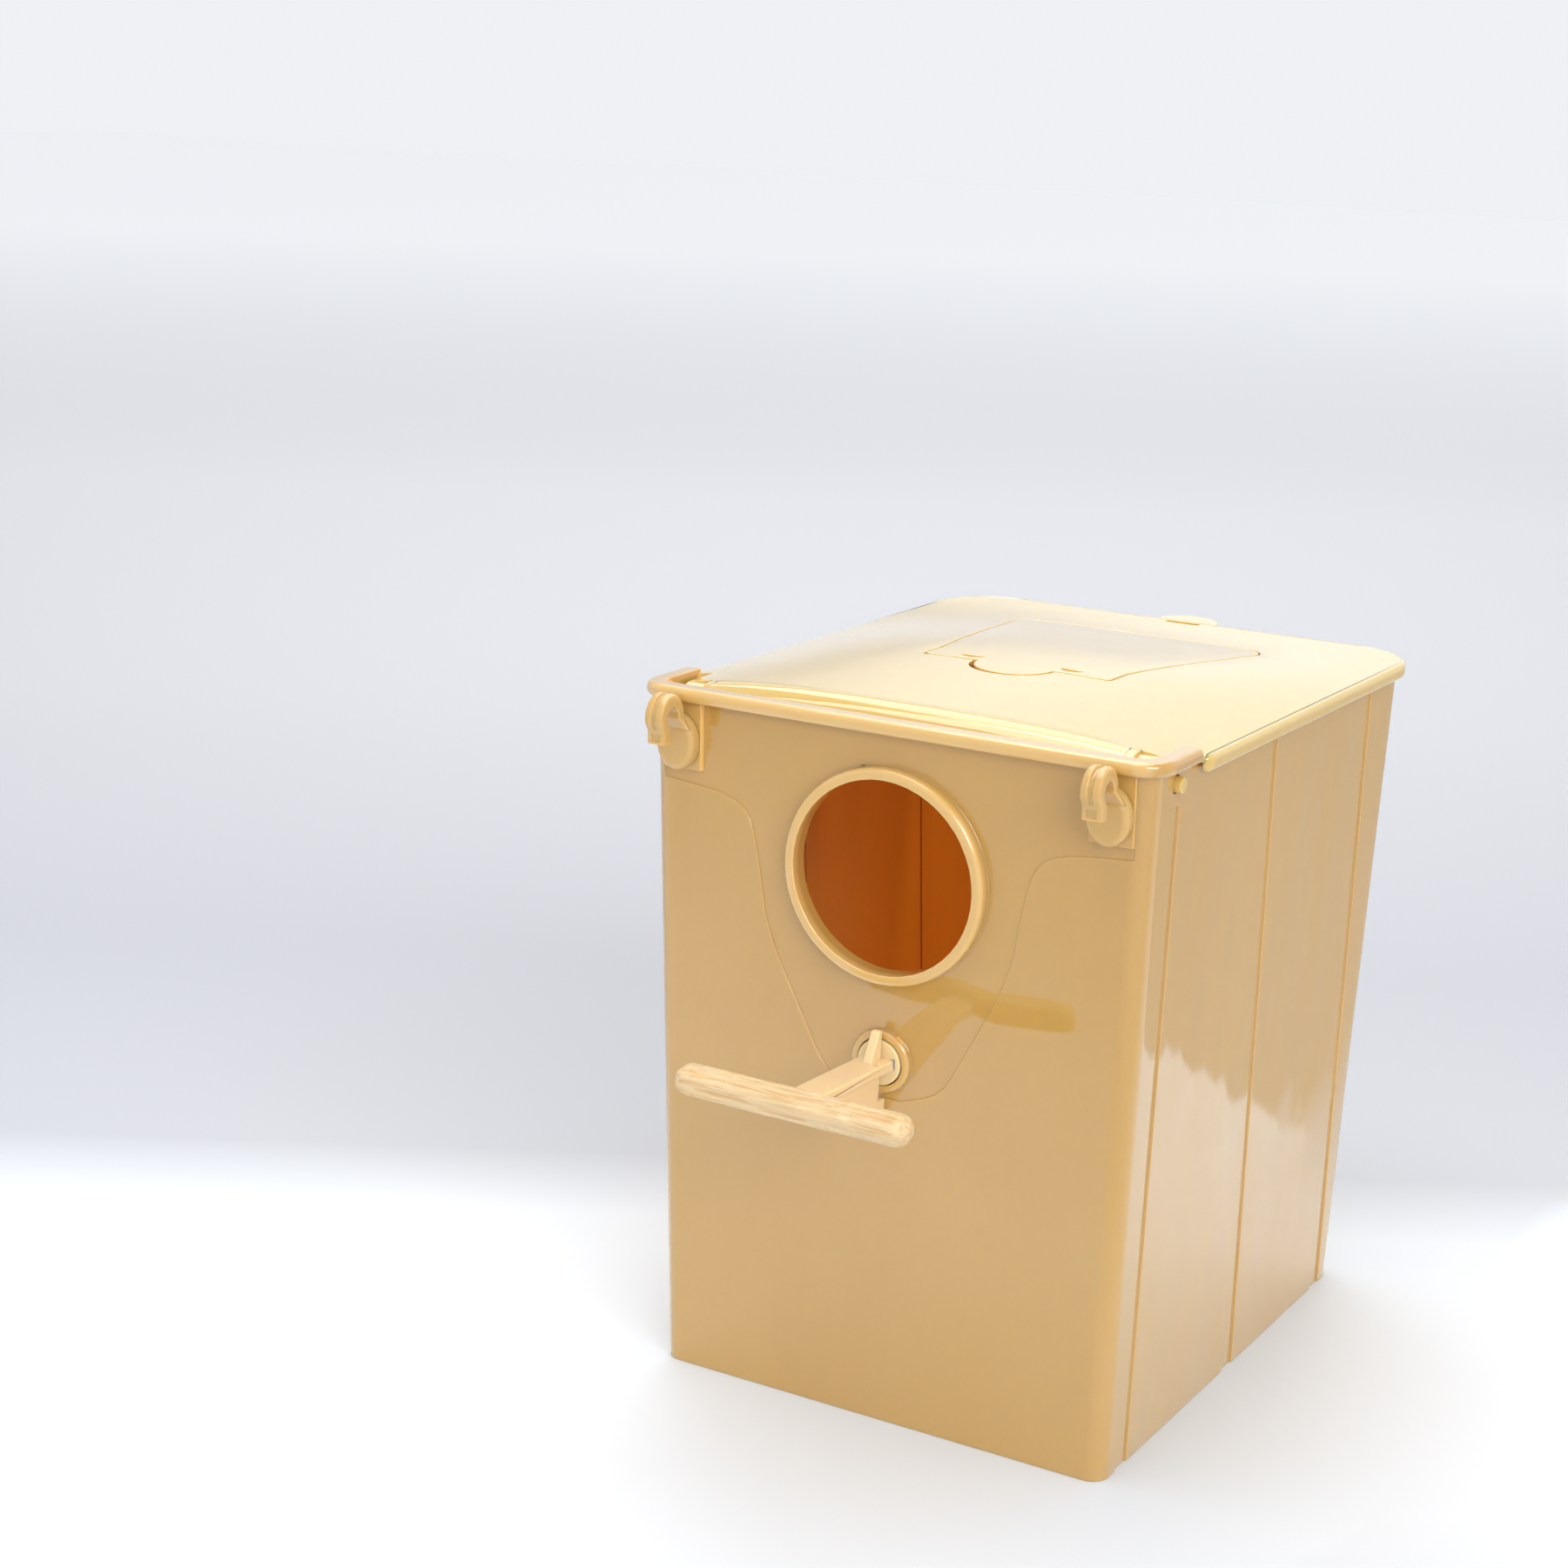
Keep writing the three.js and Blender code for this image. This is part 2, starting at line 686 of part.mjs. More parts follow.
// The nose is closed by cheeks; the bosses stand on them under the ears, and the pins run through
function lidNose() {
  const parts = [noseShell(-lidNoseHalfWidth, lidNoseHalfWidth, noseThickness)];
  const pinEnd = rimWidth / 2 + pinProud;
  for (const side of [-1, 1]) {
    const near = side * (lidNoseHalfWidth - cheekThickness);
    const far = side * lidNoseHalfWidth;
    parts.push(noseShell(Math.min(near, far), Math.max(near, far), noseRadius));
    parts.push(solid(rod(bossRadius, near, side * lidEarHalfWidth, hingeY, hingeZ, mediumSides)));
    parts.push(solid(rod(pinRadius, near, side * pinEnd, hingeY, hingeZ)));
  }
  return joined(...parts);
}

// Triangular fins beside the walls, square to the hinge line
function lidFin(side) {
  const x = rimWidth / 2 - wall - finWallGap - finThickness;
  const lift = crownAt(x, finY) + lidPlate / 2;
  const shape = new THREE.Shape();
  shape.moveTo(-finLength / 2, lift);
  shape.lineTo(-finLength / 2 + finThickness, -finHeight);
  shape.lineTo(finLength / 2, lift);
  shape.closePath();
  const fin = prism(shape, 0, finThickness);
  fin.applyMatrix4(new THREE.Matrix4().makeBasis(
    new THREE.Vector3(0, 1, 0),
    new THREE.Vector3(0, 0, 1),
    new THREE.Vector3(1, 0, 0),
  ));
  return solid(fin.translate(side > 0 ? x : -x - finThickness, finY, lidUnder));
}

function lidNub(side) {
  const nub = new THREE.SphereGeometry(nubRadius, smallSides / 2, cornerSteps);
  return solid(nub.translate(side * nubX, nubY, lidUnder + crownAt(nubX, nubY)));
}

function lidMarks() {
  const marks = [];
  for (const { across, along } of markShares) {
    const x = across * lidHalfWidth;
    const y = hingeY + along * (lidRearY - hingeY);
    const under = lidUnder + crownAt(x, y);
    for (const side of [-1, 1]) {
      marks.push(solid(disc(markRadius, under - overrun, under + markDepth).translate(side * x, y, 0)));
    }
  }
  return joined(...marks);
}

// Thumb tab, catch and the window over the catch
function lidTab() {
  const shape = new THREE.Shape();
  shape.absarc(0, 0, tabRadius, 0, Math.PI);
  shape.lineTo(-tabRadius, -lidSkirt / 2);
  shape.lineTo(tabRadius, -lidSkirt / 2);
  shape.closePath();
  return solid(roundedPrism(shape, lidUnder, lidTop, tabRound).translate(0, lidRearY, 0));
}

function lidCatch() {
  const foot = lidSkirtFoot - catchDrop;
  const innerFace = rearWallY(rimHeight) + ledgeProud + catchGap;
  const outerFace = lidRearY - lidSkirt / 2;
  const half = catchWidth / 2;
  const tongue = block([-half, lidRearY - lidSkirt, foot], [half, outerFace, lidSkirtFoot + catchHeight]);
  const barb = block([-half, innerFace, foot], [half, outerFace, foot + catchHeight]);
  return solid(tongue).add(solid(barb));
}

function latchWindow() {
  const rear = lidRearY - lidSkirt;
  return solid(block(
    [-latchWindowWidth / 2, rear - latchWindowDepth, lidUnder - overrun],
    [latchWindowWidth / 2, rear, lidTop + overrun],
  ));
}

// The hatch's sides run straight past the flap's hinge and then spread, so that the flap can stand up
function hatchHalfAt(y) {
  const share = Math.max(0, (y - hatchStraightEndY) / (hatchRearY - hatchStraightEndY));
  return hatchFrontHalf + (hatchRearHalf - hatchFrontHalf) * share;
}

// Its outline drawn in by gaps; the thumb lobe is a half circle ahead of the front edge
function hatchPlan(sideGap, frontGap, lobeRadius) {
  const front = hatchFrontY + frontGap;
  const rear = hatchRearY - sideGap;
  const frontHalf = hatchFrontHalf - sideGap;
  const rearHalf = hatchHalfAt(rear) - sideGap;
  const lean = Math.atan2(rearHalf - frontHalf, rear - hatchStraightEndY);
  const round = hatchCornerRadius - sideGap;
  const shape = new THREE.Shape();
  shape.absarc(0, front, lobeRadius, Math.PI, 2 * Math.PI);
  shape.lineTo(frontHalf - hatchFrontCorner, front);
  shape.lineTo(frontHalf, front + hatchFrontCorner);
  shape.lineTo(frontHalf, hatchStraightEndY);
  const centreX = rearHalf - round * (1 + Math.sin(lean)) / Math.cos(lean);
  shape.absarc(centreX, rear - round, round, -lean, Math.PI / 2);
  shape.absarc(-centreX, rear - round, round, Math.PI / 2, Math.PI + lean);
  shape.lineTo(-frontHalf, hatchStraightEndY);
  shape.lineTo(-frontHalf, front + hatchFrontCorner);
  shape.lineTo(hatchFrontCorner - frontHalf, front);
  shape.closePath();
  return shape;
}

function hatchOpening() {
  const plan = hatchPlan(0, 0, thumbHoleRadius);
  return solid(prism(plan, lidUnder - overrun, lidTop + crownHeight + overrun));
}

// Grille: bars under the plate, each following the crown, and one bar down the middle
function grille() {
  const top = lidTop - flapThickness - flapRestGap;
  const bars = [];
  for (let i = 0; i < barCount; i += 1) {
    const y = barFrontY + i * barPitch;
    const half = hatchHalfAt(y) + barOverlap;
    const low = [-half, y - barWidth / 2, top - barHeight];
    bars.push(solid(crownedSlab(low, [half, y + barWidth / 2, top])));
  }
  const spine = crownedSlab(
    [-barWidth / 2, barFrontY, top - barHeight],
    [barWidth / 2, hatchRearY + barOverlap, top],
  );
  return joined(...bars, solid(spine));
}

// Flap hinge line, just under the plate, with an eye each side of the opening
const flapEyeX = hatchHalfAt(flapHingeY) + eyeStandoff;
const flapHingeZ = lidUnder + crownAt(flapEyeX, flapHingeY) - flapAxisDrop;

function flapEye(side) {
  return solid(rod(eyeRadius, side * flapEyeX, side * (flapEyeX + eyeWidth), flapHingeY, flapHingeZ));
}

function flapEyeBores() {
  const reach = flapEyeX + eyeWidth + flapPinRadius;
  return solid(rod(flapPinRadius + runningGap, -reach, reach, flapHingeY, flapHingeZ));
}

// Everything on the lid is joined first; then the bores for the flap's pins are cut through the eyes
function makeLid() {
  const plate = lidPlateSolid();
  const bare = cut(plate, hatchOpening(), latchWindow(), lidMarks());
  const dressed = joined(
    bare,
    lidSkirtSolid(),
    lidNose(),
    lidFin(-1),
    lidFin(1),
    lidNub(-1),
    lidNub(1),
    lidTab(),
    lidCatch(),
    grille(),
    flapEye(-1),
    flapEye(1),
  );
  return cut(dressed, flapEyeBores());
}

// Flap: crowned like the lid, flush in the hatch, turning on two stub pins
function flapSlits() {
  const slits = [];
  for (const side of [-1, 1]) {
    const slit = new THREE.Shape();
    slit.absarc(side * slitX, 0, slitLength / 2, Math.PI, 2 * Math.PI);
    slit.closePath();
    const y = hatchFrontY + flapFrontGap + slitWidth + slitLength / 2;
    const far = solid(prism(slit, lidUnder - overrun, lidTop + crownHeight + overrun).translate(0, y, 0));
    const keep = block(
      [side * slitX - slitLength, y - slitLength, lidUnder - overrun],
      [side * slitX + slitLength, y - slitLength / 2 + slitWidth, lidTop + crownHeight + overrun],
    );
    slits.push(far.intersect(solid(keep)));
  }
  return joined(...slits);
}

function flapLug(side) {
  const outer = hatchHalfAt(flapHingeY) - flapSideGap - runningGap;
  const inner = outer - flapLugWidth;
  const low = side > 0 ? inner : -outer;
  const head = lidTop - flapThickness / 2 + crownAt(outer, flapHingeY);
  const post = block(
    [low, flapHingeY - flapLugRadius, flapHingeZ],
    [low + flapLugWidth, flapHingeY + flapLugRadius, head],
  );
  return joined(
    solid(rod(flapLugRadius, side * inner, side * outer, flapHingeY, flapHingeZ)),
    solid(post),
    solid(rod(flapPinRadius, side * inner, side * (flapEyeX + eyeWidth), flapHingeY, flapHingeZ)),
  );
}

function makeFlap() {
  const lobe = thumbHoleRadius - flapFrontGap;
  const slab = crownedSlab(
    [-hatchRearHalf, hatchFrontY - thumbHoleRadius, lidTop - flapThickness],
    [hatchRearHalf, hatchRearY, lidTop],
  );
  const outline = hatchPlan(flapSideGap, flapFrontGap, lobe);
  const plan = prism(outline, lidUnder - overrun, lidTop + crownHeight + overrun);
  const leaf = solid(slab).intersect(solid(plan)).subtract(flapSlits());
  return joined(leaf, flapLug(-1), flapLug(1));
}

// Perch: base disc in the socket ring, shank and lugs through the wall, stem and crossbar outside
function barkBar() {
  const half = crossbarLength / 2;
  const outline = new THREE.Path();
  outline.moveTo(0, -half);
  outline.absarc(0, crossbarRadius - half, crossbarRadius, -Math.PI / 2, 0);
  const rings = 2 * cornerSteps;
  const straight = half - crossbarRadius;
  for (let i = 1; i < rings; i += 1) {
    outline.lineTo(crossbarRadius, -straight + 2 * straight * i / rings);
  }
  outline.absarc(0, half - crossbarRadius, crossbarRadius, 0, Math.PI / 2);
  const geometry = new THREE.LatheGeometry(outline.getPoints(roundSteps + 1), mediumSides);
  const place = geometry.getAttribute('position');
  for (let i = 0; i < place.count; i += 1) {
    const [x, y, z] = [place.getX(i), place.getY(i), place.getZ(i)];
    const turn = Math.round(Math.atan2(z, x) * mediumSides / (2 * Math.PI)) / mediumSides;
    const wave = Math.cos(2 * Math.PI * (barkRidges * turn + barkTwistTurns * y / half));
    const swell = 1 - barkRidgeShare + barkRidgeShare * wave;
    place.setXYZ(i, x * swell, y, z * swell);
  }
  return geometry.rotateZ(Math.PI / 2);
}

// The fin stands on the stem just clear of the socket ring; the gusset under the stem steps back
// below the ring, so that its heel rests on the wall
function perchRib(standOff) {
  const clearOfRing = socketProud + runningGap;
  const heel = runningGap - standOff - gussetDrop * Math.sin(stemLift);
  const rib = new THREE.Shape();
  rib.moveTo(clearOfRing, stemFinHeight);
  rib.lineTo(clearOfRing, -gussetTop);
  rib.lineTo(heel, -gussetTop);
  rib.lineTo(heel, -gussetDrop);
  rib.lineTo(heel + gussetHeel, -gussetDrop);
  rib.lineTo(stemReach, -crossbarRadius / 2);
  rib.lineTo(stemReach, 0);
  rib.lineTo(clearOfRing + stemFinLength, 0);
  rib.lineTo(clearOfRing + stemFinRoot, stemFinHeight);
  rib.closePath();
  return prism(rib, -stemFinThickness / 2, stemFinThickness / 2).rotateY(-Math.PI / 2);
}

function perchArm(standOff) {
  const web = block([-stemWidth / 2, -stemThickness / 2, 0], [stemWidth / 2, stemThickness / 2, stemReach]);
  return [web, perchRib(standOff), barkBar().translate(0, 0, stemReach)];
}

function makePerch() {
  const seat = runningGap;
  const discTop = seat + perchDiscThickness;
  const standOff = discTop / 2;
  const lift = new THREE.Matrix4().makeRotationX(-stemLift).setPosition(0, 0, standOff);
  const lugFace = -wall - runningGap;
  const half = perchLugLength / 2;
  const local = [
    disc(perchDiscRadius, seat, discTop, mediumSides),
    disc(perchShankRadius, lugFace - perchLugThickness, discTop),
    block(
      [-perchLugWidth / 2, -half, lugFace - perchLugThickness],
      [perchLugWidth / 2, half, lugFace],
    ),
    ...perchArm(standOff).map((piece) => piece.applyMatrix4(lift)),
  ];
  return joined(...local.map((piece) => solid(piece.applyMatrix4(frontFrame(0, socketHeight)))));
}

// Oval foot: a disc with a rounded outer edge, stretched to the foot's two half sizes
function hookOval() {
  const section = new THREE.Path();
  section.moveTo(0, hookFoot);
  section.lineTo(hookFootHalfWidth, hookFoot);
  const round = hookFootRound;
  section.absarc(hookFootHalfWidth - round, hookFace - round, round, 0, Math.PI / 2);
  section.lineTo(0, hookFace);
  const geometry = new THREE.LatheGeometry(section.getPoints(roundSteps), mediumSides);
  return solid(geometry.rotateX(Math.PI / 2).scale(1, hookFootHalfHeight / hookFootHalfWidth, 1));
}

// One station of the arch: its inner and outer edge in the plane square to the wall, and its width
function archStation(innerOut, innerUp, outerOut, outerUp, width, grooved) {
  const inner = new THREE.Vector2(innerOut, innerUp);
  const outer = new THREE.Vector2(outerOut, outerUp);
  return { inner, outer, width, grooved };
}

// From the root in the foot, over the half turn and down the front leg to its tip
function archStations() {
  const back = archCentreOut - archInner - archBand;
  const rootTop = archRootUp + archRootRise;
  const stations = [
    archStation(hookFace - archRootBury, archRootUp, back, archRootUp, archRootWidth, false),
    archStation(archCentreOut - archInner, rootTop, back, rootTop, archWidth, false),
  ];
  for (let i = 0; i <= mediumSides / 2; i += 1) {
    const angle = Math.PI * (1 - 2 * i / mediumSides);
    stations.push(archStation(
      archCentreOut + archInner * Math.cos(angle),
      archCentreUp + archInner * Math.sin(angle),
      archCentreOut + (archInner + archBand) * Math.cos(angle),
      archCentreUp + (archInner + archCrest) * Math.sin(angle),
      archWidth,
      true,
    ));
  }
  const front = archCentreOut + archInner;
  const legEnd = archTipUp + archTipFlat;
  for (let i = 1; i <= archLegSteps; i += 1) {
    const draw = (1 - Math.cos(Math.PI * i / archLegSteps)) / 2;
    const up = archCentreUp + (legEnd - archCentreUp) * i / archLegSteps;
    const innerOut = front - archTipDrawIn * draw;
    const outerOut = front + archBand - archTipDrawOut * draw;
    stations.push(archStation(innerOut, up, outerOut, up, archWidth, i < archLegSteps - 1));
  }
  const last = stations[stations.length - 1];
  stations.push(archStation(last.inner.x, archTipUp, last.outer.x, archTipUp, archWidth, false));
  return stations;
}

// The arch's cross section at a station, in the hook's own frame
function archRing({ inner, outer, width, grooved }) {
  const half = archSectionShares.map(({ across, deep, groove }) => {
    const depth = deep + (grooved ? groove * archGrooveShare : 0);
    const { x: out, y: up } = outer.clone().lerp(inner, depth);
    return new THREE.Vector3(across * width / 2, up, out);
  });
  const mirrored = half.map(({ x, y, z }) => new THREE.Vector3(-x, y, z)).reverse();
  return [...half, ...mirrored];
}

// A solid drawn through rings of equal counts, closed at both ends
function loft(rings) {
  const count = rings[0].length;
  const corners = [];
  for (let k = 0; k + 1 < rings.length; k += 1) {
    for (let i = 0; i < count; i += 1) {
      const [a, b] = [k * count + i, k * count + (i + 1) % count];
      corners.push(a, b, b + count, a, b + count, a + count);
    }
  }
  const end = (rings.length - 1) * count;
  for (let i = 1; i + 1 < count; i += 1) {
    corners.push(0, i + 1, i, end, end + i, end + i + 1);
  }
  const geometry = new THREE.BufferGeometry().setFromPoints(rings.flat());
  geometry.setIndex(corners);
  return geometry;
}

// A small square recess in the tip's outer face, where the mould was filled
function gateMark() {
  const face = archCentreOut + archInner + archBand - archTipDrawOut;
  const low = archTipUp + gateMarkUp;
  return solid(block(
    [-gateMarkWidth / 2, low, face - gateMarkDepth],
    [gateMarkWidth / 2, low + gateMarkHeight, face + overrun],
  ));
}

function makeHook(side) {
  const headTop = -wall - runningGap;
  const local = joined(
    hookOval(),
    solid(disc(hookShankRadius, headTop - hookHeadThickness, hookFoot + hookFootThickness / 2)),
    solid(disc(hookHeadRadius, headTop - hookHeadThickness, headTop)),
    solid(loft(archStations().map(archRing))).subtract(gateMark()),
  );
  const slit = block(
    [-hookHeadRadius - overrun, -hookSlitWidth / 2, headTop - hookHeadThickness - overrun],
    [hookHeadRadius + overrun, hookSlitWidth / 2, padProud - wall],
  );
  return placed(local.subtract(solid(slit)), frontFrame(side * hookX, hookHeight));
}

// A finished solid, drawn in a local frame, taken to its place
function placed(body, matrix) {
  return solid(geometryOf(body).applyMatrix4(matrix));
}

function geometryOf(body) {
  const { vertProperties, triVerts } = body.getMesh();
  const geometry = new THREE.BufferGeometry();
  geometry.setAttribute('position', new THREE.BufferAttribute(Float32Array.from(vertProperties), 3));
  geometry.setIndex(new THREE.BufferAttribute(Uint32Array.from(triVerts), 1));
  return geometry;
}

function plastic(colour) {
  return new THREE.MeshStandardMaterial({ color: colour, roughness: plasticRoughness, metalness: 0 });
}

function piece(name, body, colour) {
  const geometry = geometryOf(body);
  geometry.computeVertexNormals();
  const mesh = new THREE.Mesh(geometry, plastic(colour));
  mesh.name = name;
  return mesh;
}

const nestBox = new THREE.Group();
nestBox.name = 'finch_nest_box';
nestBox.add(piece('tub', makeTub(), 0xd2b483));
nestBox.add(piece('lid', makeLid(), 0xe0c898));
nestBox.add(piece('flap', makeFlap(), 0xe3cd9f));
nestBox.add(piece('perch', makePerch(), 0xdfc08a));
nestBox.add(piece('hook_left', makeHook(-1), 0xd8ba88));
nestBox.add(piece('hook_right', makeHook(1), 0xd8ba88));

export default nestBox;
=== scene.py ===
# Finch nest box in glossy, slightly translucent beige plastic, on a pale floor in soft studio
# light. The rigid pieces keep the solids' own shapes, with rounded edges and a moulded finish.
import math

import bmesh
import bpy
from mathutils import Euler, Matrix, Vector
from mathutils.bvhtree import BVHTree


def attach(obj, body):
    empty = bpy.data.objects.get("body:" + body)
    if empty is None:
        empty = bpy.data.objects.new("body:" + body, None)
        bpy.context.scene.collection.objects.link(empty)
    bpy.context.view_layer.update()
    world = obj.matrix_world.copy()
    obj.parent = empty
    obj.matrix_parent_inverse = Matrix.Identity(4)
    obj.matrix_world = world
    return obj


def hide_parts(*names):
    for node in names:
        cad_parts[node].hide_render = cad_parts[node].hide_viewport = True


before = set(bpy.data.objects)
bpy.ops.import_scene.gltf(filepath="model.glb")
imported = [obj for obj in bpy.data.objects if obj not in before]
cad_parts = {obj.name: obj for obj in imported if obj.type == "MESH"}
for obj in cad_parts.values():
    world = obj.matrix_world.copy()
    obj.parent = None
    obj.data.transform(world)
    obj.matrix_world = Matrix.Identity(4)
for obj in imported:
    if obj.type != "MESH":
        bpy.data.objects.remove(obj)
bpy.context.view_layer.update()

MM = 0.001

# Camera: where it stands, how far it is turned from +Y, how far it looks down, and its roll
CAMERA_PLACE_MM = (303.3, -650.2, 321.7)
CAMERA_HEADING_DEG = -30.27
CAMERA_DOWN_DEG = 14.20
CAMERA_ROLL_DEG = 2.06
CAMERA_LENS_MM = 66.92
SENSOR_MM = 36.0
LEVEL_DEG = 90

# Light: a pale room with a brighter patch low behind the box, which the lid mirrors, two softboxes
# overhead and a large panel in front; room stops run from straight down (0) to straight up (1)
ROOM_STOPS = (
    (0.000, (0.86, 0.875, 0.905)),
    (0.515, (0.86, 0.875, 0.905)),
    (0.570, (0.70, 0.70, 0.70)),
    (0.680, (0.86, 0.87, 0.89)),
    (0.850, (0.50, 0.51, 0.53)),
    (1.000, (0.50, 0.51, 0.53)),
)
PATCH_WAY = (-0.20, 0.91, 0.36)
PATCH_EDGE = (0.93, 0.965)
PATCH_RISE = (0.03, 0.12)
PATCH_COLOUR = (1.12, 1.12, 1.08)
LAMPS = {
    "top_softbox": {
        "place": (-0.10, -0.15, 1.25),
        "target": (0, 0, 0),
        "size": (0.9, 0.9),
        "power": 6.5,
    },
    "rear_softbox": {
        "place": (-0.35, 0.60, 1.25),
        "target": (0, 0, 0),
        "size": (0.9, 0.9),
        "power": 5.0,
    },
    "key_panel": {
        "place": (1.8, -1.5, 1.3),
        "target": (0, 0, 0.1),
        "size": (1.6, 1.2),
        "power": 30.0,
    },
}

# Floor: pale paper with painted light and shade on it: painted light makes it white under the box,
# and painted shade makes it pale grey for a stretch before and behind it. Its stops are distances
# from the box's middle along the paper, which has a painted glow at its far end, and right of the
# box the painted white reaches a step further back. A beige patch of painted shade, which the right
# wall mirrors, lies right of the box and behind it; each of its edges runs from clear to whole.
FLOOR_HALF = 6.0
PAPER_HEADING = (-0.504, 0.864, 0.0)
PAPER_START, PAPER_END = -1.0, 5.0
# Painted light and shade along the paper: white under the box, grey before and behind it
PAPER_LIGHT_AND_SHADE_STOPS = (
    (-0.95, (0.82, 0.84, 0.87)),
    (-0.55, (0.66, 0.66, 0.67)),
    (-0.30, (0.60, 0.595, 0.595)),
    (-0.15, (0.82, 0.85, 0.89)),
    (0.05, (0.82, 0.85, 0.89)),
    (0.10, (0.57, 0.585, 0.62)),
    (0.30, (0.54, 0.55, 0.585)),
    (0.70, (0.66, 0.67, 0.70)),
    (1.40, (0.82, 0.83, 0.86)),
    (3.00, (0.90, 0.92, 0.95)),
)
# Painted glow, rising towards the paper's far end
PAPER_PAINTED_GLOW_STOPS = (
    (0.60, (0.0, 0.0, 0.0)),
    (2.20, (0.15, 0.15, 0.155)),
    (4.00, (0.28, 0.28, 0.28)),
)
PAPER_LIGHT_STEP = 0.05
PAPER_ROUGHNESS = 0.7
# Painted shade: a beige patch right of the box and behind it, which the right wall mirrors
SHADE_PATCH_RIGHT = ((0.095, 0.12), (0.70, 0.35))
SHADE_PATCH_BEHIND = ((0.086, 0.093), (1.10, 0.55))
SHADE_PATCH_TONE = (0.50, 0.44, 0.38)


def make_camera():
    data = bpy.data.cameras.new("photo_camera")
    data.lens = CAMERA_LENS_MM
    data.sensor_width = SENSOR_MM
    camera = bpy.data.objects.new("photo_camera", data)
    bpy.context.scene.collection.objects.link(camera)
    pitch = math.radians(LEVEL_DEG - CAMERA_DOWN_DEG)
    turn = Euler((pitch, 0, -math.radians(CAMERA_HEADING_DEG))).to_matrix()
    roll = Matrix.Rotation(math.radians(CAMERA_ROLL_DEG), 3, "Z")
    camera.matrix_world = Matrix.Translation(Vector(CAMERA_PLACE_MM) * MM) @ (turn @ roll).to_4x4()
    bpy.context.scene.camera = camera


def make_lamp(name, place, target, size, power):
    data = bpy.data.lights.new(name, "AREA")
    data.shape = "RECTANGLE"
    data.size, data.size_y = size
    data.energy = power
    lamp = bpy.data.objects.new(name, data)
    bpy.context.scene.collection.objects.link(lamp)
    lamp.location = place
    lamp.rotation_euler = (Vector(target) - Vector(place)).to_track_quat("-Z", "Y").to_euler()


def make_room():
    world = bpy.data.worlds.new("room")
    bpy.context.scene.world = world
    world.use_nodes = True
    tree = world.node_tree
    ways = tree.nodes.new("ShaderNodeTexCoord").outputs["Generated"]
    height = split(tree, ways)["Z"]
    nearness = dot(tree, ways, PATCH_WAY)
    patch = product(tree, spread(tree, nearness, *PATCH_EDGE), spread(tree, height, *PATCH_RISE))
    room = ramp(tree, spread(tree, height, -1.0, 1.0), ROOM_STOPS)
    feed(tree, tree.nodes["Background"], {"Color": mixed(tree, patch, room, (*PATCH_COLOUR, 1))})
    bpy.context.scene.view_settings.view_transform = "Standard"


# Node helpers: a socket given as a value is linked, anything else is set
def new_material(name):
    material = bpy.data.materials.new(name)
    material.use_nodes = True
    tree = material.node_tree
    return material, tree, tree.nodes["Principled BSDF"]


def feed(tree, node, inputs):
    for key, value in inputs.items():
        if isinstance(value, bpy.types.NodeSocket):
            tree.links.new(value, node.inputs[key])
        else:
            node.inputs[key].default_value = value


def add_node(tree, kind, inputs, **settings):
    node = tree.nodes.new(kind)
    for key, value in settings.items():
        setattr(node, key, value)
    feed(tree, node, inputs)
    return node


# The shaded point in the piece's own metres
def place_socket(tree):
    return tree.nodes.new("ShaderNodeTexCoord").outputs["Object"]


def split(tree, vector):
    return add_node(tree, "ShaderNodeSeparateXYZ", {"Vector": vector}).outputs


def dot(tree, first, second):
    inputs = {0: first, 1: second}
    node = add_node(tree, "ShaderNodeVectorMath", inputs, operation="DOT_PRODUCT")
    return node.outputs["Value"]


def arithmetic(tree, operation, first, second, third=0.0):
    inputs = {0: first, 1: second, 2: third}
    return add_node(tree, "ShaderNodeMath", inputs, operation=operation).outputs["Value"]


def product(tree, first, second):
    return arithmetic(tree, "MULTIPLY", first, second)


# Noise over the piece's own place, stretched by a count of cycles per metre along each axis
def noise(tree, cycles, detail=2.0, rough=0.5, shift=(0, 0, 0), distortion=0.0):
    mapping = add_node(tree, "ShaderNodeMapping", {
        "Vector": place_socket(tree),
        "Location": shift,
        "Scale": cycles,
    })
    texture = add_node(tree, "ShaderNodeTexNoise", {
        "Vector": mapping.outputs["Vector"],
        "Scale": 1.0,
        "Detail": detail,
        "Roughness": rough,
        "Distortion": distortion,
    })
    return texture.outputs["Fac"]


def ramp(tree, factor, stops):
    node = add_node(tree, "ShaderNodeValToRGB", {"Fac": factor})
    elements = node.color_ramp.elements
    while len(elements) < len(stops):
        elements.new(0.5)
    for element, (place, colour) in zip(elements, stops):
        element.position = place
        element.color = (*colour, 1)
    return node.outputs["Color"]


def spread(tree, value, low, high, to_low=0.0, to_high=1.0):
    node = add_node(tree, "ShaderNodeMapRange", {
        "Value": value,
        "From Min": low,
        "From Max": high,
        "To Min": to_low,
        "To Max": to_high,
    })
    return node.outputs["Result"]


# 1 between two edges and 0 outside them, each edge given from where it is 0 to where it is 1
def between(tree, value, rise, fall):
    return product(tree, spread(tree, value, *rise), spread(tree, value, *fall))


# The colour sockets of a Mix node, which keeps others for numbers and vectors
MIX_FIRST, MIX_SECOND, MIX_RESULT = 6, 7, 2


def mixed(tree, factor, first, second):
    node = add_node(tree, "ShaderNodeMix", {"Factor": factor}, data_type="RGBA")
    feed(tree, node, {MIX_FIRST: first, MIX_SECOND: second})
    return node.outputs[MIX_RESULT]


